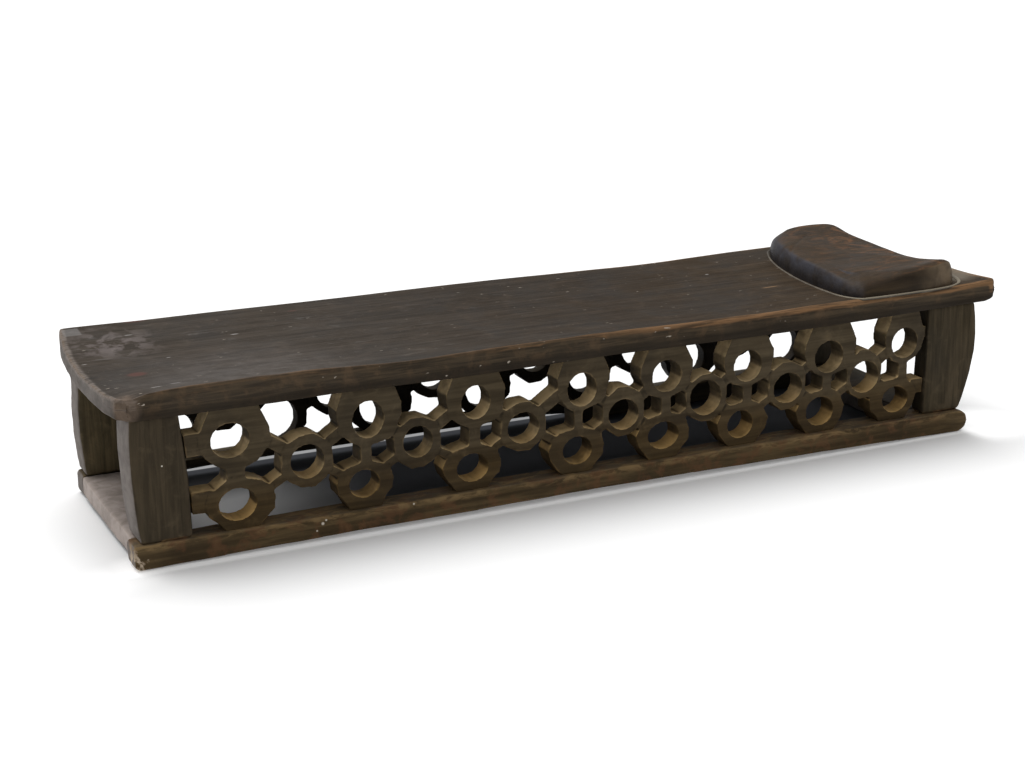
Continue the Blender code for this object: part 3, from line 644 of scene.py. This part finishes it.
def aged_top(n, colour, grain, blot, upward):
    """Browner towards the head, with scratches, pale scuffs, knocks and a warm front edge."""
    face_up = n.ramp(upward, 0.80, 0.95)
    sideways = n.times(n.ramp(n.math("ABSOLUTE", n.axis(n.normal, "Y")), 0.35, 0.75),
                       n.ramp(blot, 0.15, 0.55, 0.6, 1.0))
    along, across, high = (n.axis(n.place, way) for way in "XYZ")
    tint = n.mix(n.ramp(along, -0.55, 0.55), (1.02, 1.02, 1.04), (0.90, 0.75, 0.54))
    colour = n.tone(face_up, colour, tint)
    middle = n.times(near(n, 0.05, 0.05, 0.33, 0.15, 0.75), 0.75)
    colour = n.tone(middle, colour, (0.70, 0.68, 0.66))
    # Painted sheen: a paler grey patch on the top, near the front at the foot.
    painted_sheen_patch = n.times(near(n, -0.72, -0.21, 0.335, 0.05, 0.32), n.ramp(blot, 0.3, 0.7, 0.4, 1.0))
    colour = n.mix(n.times(painted_sheen_patch, 0.55), colour, (0.095, 0.084, 0.078))
    warm = n.mix(n.ramp(grain, 0.35, 0.65), (0.062, 0.044, 0.026), (0.030, 0.022, 0.014))
    warm = n.mix(n.ramp(blot, 0.50, 0.68, 0.0, 0.6), warm, (0.092, 0.058, 0.032))
    colour = n.mix(n.times(sideways, 0.90), colour, warm)
    # Painted shade: the lower part of the front edge is darkened.
    front = n.ramp(across, -0.20, -0.245)
    below = n.times(front, n.ramp(high, 0.316, 0.299), 0.8)
    colour = n.mix(below, colour, (0.016, 0.012, 0.008))
    arris = n.times(n.ramp(n.wear(), 0.04, 0.34), n.ramp(grain, 0.64, 0.40, 0.25, 1.0),
                    n.ramp(high, 0.308, 0.320))
    worn_arris = n.mix(n.ramp(along, -0.90, -0.94), (0.215, 0.116, 0.054), (0.185, 0.155, 0.135))
    strength = n.math("MAXIMUM", n.ramp(along, -0.45, 0.35, 0.35, 0.85),
                      n.ramp(along, -0.88, -0.95, 0.0, 0.7))
    colour = n.mix(n.times(arris, strength), colour, worn_arris)
    scratch = n.noise(n.stretch(5.0, 170.0, 60.0), 1.6, 4.0, 0.7, 0.25)
    scratch = n.times(n.ramp(scratch, 0.61, 0.70), n.ramp(blot, 0.40, 0.62), face_up, 0.55)
    colour = n.mix(scratch, colour, (0.115, 0.070, 0.048))
    scuff = n.noise(n.stretch(10.0, 26.0, 26.0), 1.9, 5.0, 0.66, 0.5)
    foot_ward = n.ramp(along, 0.2, -0.9, 0.25, 1.0)
    scuff = n.times(n.ramp(scuff, 0.57, 0.78), face_up, foot_ward, 0.50)
    colour = n.mix(scuff, colour, (0.130, 0.120, 0.112))
    nick = n.noise(n.stretch(34.0, 150.0, 80.0), 1.3, 2.0, 0.5, 0.2)
    colour = n.mix(n.times(n.ramp(nick, 0.735, 0.765), 0.75), colour, (0.40, 0.35, 0.29))
    square = n.times(n.ramp(n.math("ABSOLUTE", n.math("ADD", along, 0.938)), 0.019, 0.015),
                     n.ramp(n.math("ABSOLUTE", n.math("ADD", across, -0.232)), 0.021, 0.018))
    colour = n.mix(n.times(square, face_up, 0.42), colour, (0.21, 0.20, 0.195))
    mottle = n.times(near(n, -0.88, 0.14, 0.33, 0.02, 0.13), n.ramp(blot, 0.44, 0.60))
    colour = n.mix(n.times(mottle, 0.55), colour, (0.160, 0.135, 0.130))
    for x, y, half_x, half_y, shade in BOARD_MARKS:
        colour = n.mix(n.times(mark(n, x, y, half_x, half_y), face_up, 0.8), colour, shade)
    corner = n.times(near(n, -0.960, -0.255, 0.318, 0.020, 0.040), n.ramp(blot, 0.3, 0.6, 0.4, 1.0))
    colour = n.mix(n.times(corner, 0.75), colour, (0.145, 0.105, 0.078))
    pale = n.times(near(n, 0.925, -0.165, 0.340, 0.025, 0.075), face_up)
    return n.mix(n.times(pale, 0.75), colour, (0.155, 0.130, 0.098))


board_wood = carved_wood("board_wood", (0.022, 0.0175, 0.0135), (0.044, 0.0355, 0.0280),
                         (0.070, 0.050, 0.030), (0.140, 0.090, 0.048), 0.20, 0.60,
                         end_dust=(0.125, 0.108, 0.096), extra=aged_top, gloss=0.08)
mesh = grid_mesh("carved_board", sections)
places, normals = points_of(mesh)
dents = scoops(places * (10, 26, 30), 51, 0.8)
side_face = np.abs(normals[:, 1])
foot_side = np.clip(-normals[:, 0], 0, 1)
places += normals * (0.0007 * rough_noise(places * (3, 12, 12), 41)
                     - 0.0022 * side_face * (0.8 - dents)
                     + 0.0012 * foot_side * rough_noise(places * (30, 45, 60), 43))[:, None]
set_points(mesh, places)
store_wear(mesh)
make_piece("carved_board", mesh, board_wood, ["sleeping_board"])


# ---------------------------------------------------------------- headrest

# Plan, then heights above the base at the rim, the shoulder and the crest, in millimetres.
HEADREST_RIM = [
    (622, -234, 23, 30, 33), (640, -250, 25, 33, 34), (690, -255, 29, 36, 35), (750, -255, 35, 40, 37),
    (808, -252, 41, 44, 38), (862, -238, 46, 47, 39), (896, -208, 37, 39, 36), (909, -160, 27, 29, 29),
    (911, -80, 13, 15, 25), (909, 20, 12, 15, 27), (905, 110, 18, 22, 31), (893, 180, 27, 30, 36),
    (864, 219, 44, 47, 44), (818, 234, 45, 50, 46), (762, 236, 43, 49, 46), (706, 224, 33, 43, 43),
    (680, 190, 35, 42, 41), (656, 130, 34, 38, 38), (637, 50, 31, 34, 35), (623, -40, 31, 33, 33),
    (616, -130, 29, 31, 32), (615, -200, 24, 27, 31),
]
REST_MIDDLE = np.array([0.765, -0.010])
REST_BASE = 0.3408
CROWN = 0.033
# A soft bent crease crosses the back of the top down to the foot side.
CREASE = [(0.756, 0.148), (0.737, 0.137), (0.715, 0.118), (0.690, 0.096), (0.665, 0.070), (0.649, 0.053)]

rim = curved(HEADREST_RIM, 20) / 1000
spokes = rim[:, :2] - REST_MIDDLE
# The foot side leans in more than the rest.
lean = 1 + 0.95 * np.clip((0.735 - rim[:, 0]) / 0.080, 0, 1)


def rest_loop(size, heights):
    """The rim's plan at a share of its size, at the given heights."""
    reach = 1 - (1 - size) * lean if 0.88 < size < 1 else np.full(len(spokes), size)
    plan = REST_MIDDLE + spokes * reach[:, None]
    return np.column_stack([plan, np.broadcast_to(heights, len(plan))])


floor_line = rest_loop(1.0, 0.0)
floor_height = board_top(floor_line[:, 0], floor_line[:, 1]) - 0.002
crest, shoulder, edge = (REST_BASE + rim[:, column] for column in (4, 3, 2))
crown_height = REST_BASE + CROWN
control = [rest_loop(1.005, floor_height),
           rest_loop(1.000, floor_height + 0.35 * (edge - floor_height)),
           rest_loop(0.987, floor_height + 0.68 * (edge - floor_height)),
           rest_loop(0.967, edge - 0.0035), rest_loop(0.936, edge + 0.35 * (shoulder - edge)),
           rest_loop(0.885, shoulder), rest_loop(0.73, crest)]
control += [rest_loop(size, crest + (crown_height - crest) * share)
            for size, share in ((0.58, 0.32), (0.40, 0.62), (0.24, 0.84), (0.11, 0.96), (0.02, 1.0))]
stack = np.stack(control).reshape(len(control), -1)
stack = curved(stack, 11, closed=False).reshape(-1, len(rim), 3)
stack[..., 0] += SHIFT
mesh = grid_mesh("carved_headrest", stack)


def rubbed_rest(n, colour, grain, blot, upward):
    """Blue-grey painted sheen on the foot side, reddish streaks over the top, tan front at the head."""
    along, high = n.axis(n.place, "X"), n.axis(n.place, "Z")
    # Painted sheen: blue-grey on the upper part of the foot side.
    painted_sheen = n.times(n.ramp(n.axis(n.normal, "X"), -0.20, -0.55), n.ramp(blot, 0.30, 0.62, 0.30, 1.0),
                    n.ramp(high, 0.338, 0.362, 0.35, 1.0), 0.80)
    colour = n.mix(painted_sheen, colour, (0.043, 0.044, 0.056))
    streak = n.noise(n.stretch(8.0, 16.0, 16.0), 2.2, 5.0, 0.70, 1.1)
    streak = n.times(n.ramp(streak, 0.48, 0.66), n.ramp(along, 0.66, 0.86, 0.20, 1.0),
                     n.ramp(upward, 0.7, 0.95), 0.70)
    colour = n.mix(streak, colour, (0.165, 0.080, 0.036))
    tan = n.times(n.ramp(along, 0.76, 0.88), n.ramp(n.axis(n.normal, "Y"), -0.30, -0.70),
                  n.ramp(blot, 0.30, 0.62, 0.5, 1.0), 0.80)
    colour = n.mix(tan, colour, (0.165, 0.120, 0.075))
    return n.tone(n.ramp(upward, 0.6, 0.9), colour, (0.90, 0.80, 0.64))


rest_wood = carved_wood("headrest_wood", (0.017, 0.011, 0.006), (0.038, 0.025, 0.013),
                        (0.050, 0.033, 0.019), (0.085, 0.052, 0.028), 0.30, 0.55, extra=rubbed_rest,
                        gloss=0.11, grainy=0.35)
places, normals = points_of(mesh)
gap = np.full(len(places), 1.0)
for start, stop in zip(CREASE, CREASE[1:]):
    run = np.subtract(stop, start)
    share = np.clip(((places[:, :2] - start) @ run) / (run @ run), 0, 1)
    offset = places[:, :2] - (start + share[:, None] * run)
    gap = np.minimum(gap, np.hypot(offset[:, 0], offset[:, 1]))
dents = scoops(places * (16, 12, 30), 61, 0.8)
places[:, 2] -= 0.0011 * np.exp(-(gap / 0.0045) ** 2) * (normals[:, 2] > 0.5)
places += normals * (0.0010 * rough_noise(places * (9, 9, 9), 42) - 0.0012 * (0.8 - dents))[:, None]
set_points(mesh, places)
store_wear(mesh)
make_piece("carved_headrest", mesh, rest_wood, ["headrest"])

# A raised lip runs round the foot of the headrest; its plan, in millimetres.
LIP_PATH = [
    (622, -250), (650, -257), (700, -258), (760, -258), (820, -257), (868, -249), (903, -222),
    (922, -170), (926, -80), (924, 20), (918, 115), (904, 190), (870, 230), (818, 244), (762, 245),
    (704, 231), (677, 193), (652, 131), (632, 50), (617, -40), (608, -130), (606, -205),
]
path = curved(LIP_PATH, 26) / 1000
ahead = np.roll(path, -1, 0) - np.roll(path, 1, 0)
across = np.stack([ahead[:, 1], -ahead[:, 0]], 1) / np.hypot(ahead[:, 0], ahead[:, 1])[:, None]
swell = 1 + 0.9 * np.exp(-((path[:, 0] - 0.915) / 0.03) ** 2 - ((path[:, 1] + 0.19) / 0.06) ** 2)
LIP_RADIUS = 0.0026
lip_rows = []
for turn in np.radians(np.arange(0, 360, 24)):
    spot = path + across * (LIP_RADIUS * swell * math.cos(turn))[:, None]
    ground = board_top(spot[:, 0], np.clip(spot[:, 1], -0.2575, 0.2575))
    height = ground - 0.0012 + 0.0030 * math.sin(turn)
    lip_rows.append(np.column_stack([spot[:, 0] + SHIFT, spot[:, 1], height]))
lip_mesh = grid_mesh("headrest_lip", np.stack(lip_rows, 1), "ring")


def paler_near(n, colour, grain, blot, upward):
    """The near side of the lip is rubbed pale."""
    side = n.times(n.ramp(n.axis(n.place, "Y"), -0.14, -0.24), n.ramp(upward, -0.2, 0.6))
    return n.mix(n.times(side, 0.75), colour, (0.250, 0.215, 0.160))


lip_wood = carved_wood("lip_wood", (0.050, 0.042, 0.034), (0.105, 0.090, 0.072), (0.130, 0.112, 0.090),
                       (0.200, 0.170, 0.130), 0.5, 0.62, extra=paler_near)
store_wear(lip_mesh)
make_piece("headrest_lip", lip_mesh, lip_wood, [])


# ------------------------------------------------------------ floor, light

REACH = 30.0
floor_mesh = bpy.data.meshes.new("floor")
floor_mesh.from_pydata([(-REACH, -REACH, 0), (REACH, -REACH, 0), (REACH, REACH, 0), (-REACH, REACH, 0)],
                       [], [(0, 1, 2, 3)])
floor = bpy.data.objects.new("floor", floor_mesh)
bpy.context.scene.collection.objects.link(floor)


def floor_paint():
    """White studio floor, painted dark beneath the bed as painted shade, and greyer just behind it as a
    painted shadow.
    """
    n = Nodes("floor_paint")
    along, across = n.axis(n.place, "X"), n.axis(n.place, "Y")
    # Painted shade: the floor beneath the bed is painted dark, darker towards the back and the head.
    inside = n.times(n.ramp(across, -0.215, -0.175), n.ramp(across, 0.272, 0.262),
                     n.ramp(along, -0.90, -0.84), n.ramp(along, 0.90, 0.86))
    depth = n.math("MAXIMUM", n.ramp(across, 0.03, 0.17), n.ramp(along, -0.74, -0.34))
    shade = n.mix(n.ramp(across, 0.13, 0.23), (0.085, 0.088, 0.098), (0.030, 0.032, 0.037))
    paint = n.mix(n.times(inside, depth), (0.86, 0.86, 0.86), shade)
    # Painted shadow: a greyer band on the floor just behind the back rail.
    behind = n.times(n.ramp(across, 0.262, 0.272), n.ramp(across, 0.36, 0.33),
                     n.ramp(along, -0.86, -0.80), n.ramp(along, 0.30, 0.20))
    paint = n.tone(behind, paint, (0.34, 0.345, 0.35))
    n.feed(n.shader.inputs["Base Color"], paint)
    # Light thrown back by the white backdrop at the foot of the front rail and the head post.
    rail_foot = n.times(n.ramp(across, -0.280, -0.260), n.ramp(across, -0.150, -0.200),
                        n.ramp(along, -1.00, -0.95), n.ramp(along, 0.96, 0.90))
    head_foot = n.times(near(n, 0.965, -0.230, 0.0, 0.05, 0.15), n.ramp(along, 0.90, 0.94))
    glow = n.math("ADD", n.times(rail_foot, 0.17), n.times(head_foot, 0.42))
    glow = n.math("ADD", glow, n.times(near(n, -0.985, -0.265, 0.0, 0.02, 0.10), 0.12))
    lit_floor = n.times(near(n, -0.72, 0.02, 0.0, 0.02, 0.22), 0.05)
    n.feed(n.shader.inputs["Emission Strength"], n.math("ADD", glow, lit_floor))
    n.shader.inputs["Emission Color"].default_value = (1.0, 1.0, 1.0, 1.0)
    n.shader.inputs["Roughness"].default_value = 0.9
    n.shader.inputs["Specular IOR Level"].default_value = 0.1
    return n.material


floor_mesh.materials.append(floor_paint())
floor.location.z = -0.0002


def broad_sun(name, direction, spread, strength):
    """A broad, even light from one side of the sky, as a large softbox gives."""
    light = bpy.data.lights.new(name, "SUN")
    light.angle = math.radians(spread)
    light.energy = strength
    lamp = bpy.data.objects.new(name, light)
    bpy.context.scene.collection.objects.link(lamp)
    lamp.rotation_euler = Vector(direction).to_track_quat("Z", "Y").to_euler()
    lamp.location = (0.0, 0.0, 3.0)


broad_sun("overhead", (-0.12, 0.40, 1.0), 52, 2.7)

world = bpy.data.worlds.new("studio")
bpy.context.scene.world = world
world.use_nodes = True
world.node_tree.nodes["Background"].inputs["Color"].default_value = (1.0, 1.0, 1.0, 1.0)
world.node_tree.nodes["Background"].inputs["Strength"].default_value = 0.60
bpy.context.scene.view_settings.view_transform = "Standard"


# ------------------------------------------------------------------ camera

AZIMUTH, ELEVATION, ROLL = (math.radians(value) for value in (-25.03, 16.62, -0.67))
CAMERA_PLACE = (-1.7376, -3.572, 1.351)
LENS, SENSOR = 68.49, 36.0

backward = np.array([math.sin(AZIMUTH) * math.cos(ELEVATION),
                     -math.cos(AZIMUTH) * math.cos(ELEVATION), math.sin(ELEVATION)])
level = np.cross(-backward, (0, 0, 1))
level /= np.linalg.norm(level)
upright = np.cross(level, -backward)
right = level * math.cos(ROLL) + upright * math.sin(ROLL)
up = upright * math.cos(ROLL) - level * math.sin(ROLL)
pose = Matrix.Identity(4)
for row in range(3):
    pose[row] = (right[row], up[row], backward[row], CAMERA_PLACE[row])
lens = bpy.data.cameras.new("camera")
lens.sensor_width = SENSOR
lens.lens = LENS
camera = bpy.data.objects.new("camera", lens)
bpy.context.scene.collection.objects.link(camera)
camera.matrix_world = pose
bpy.context.scene.camera = camera
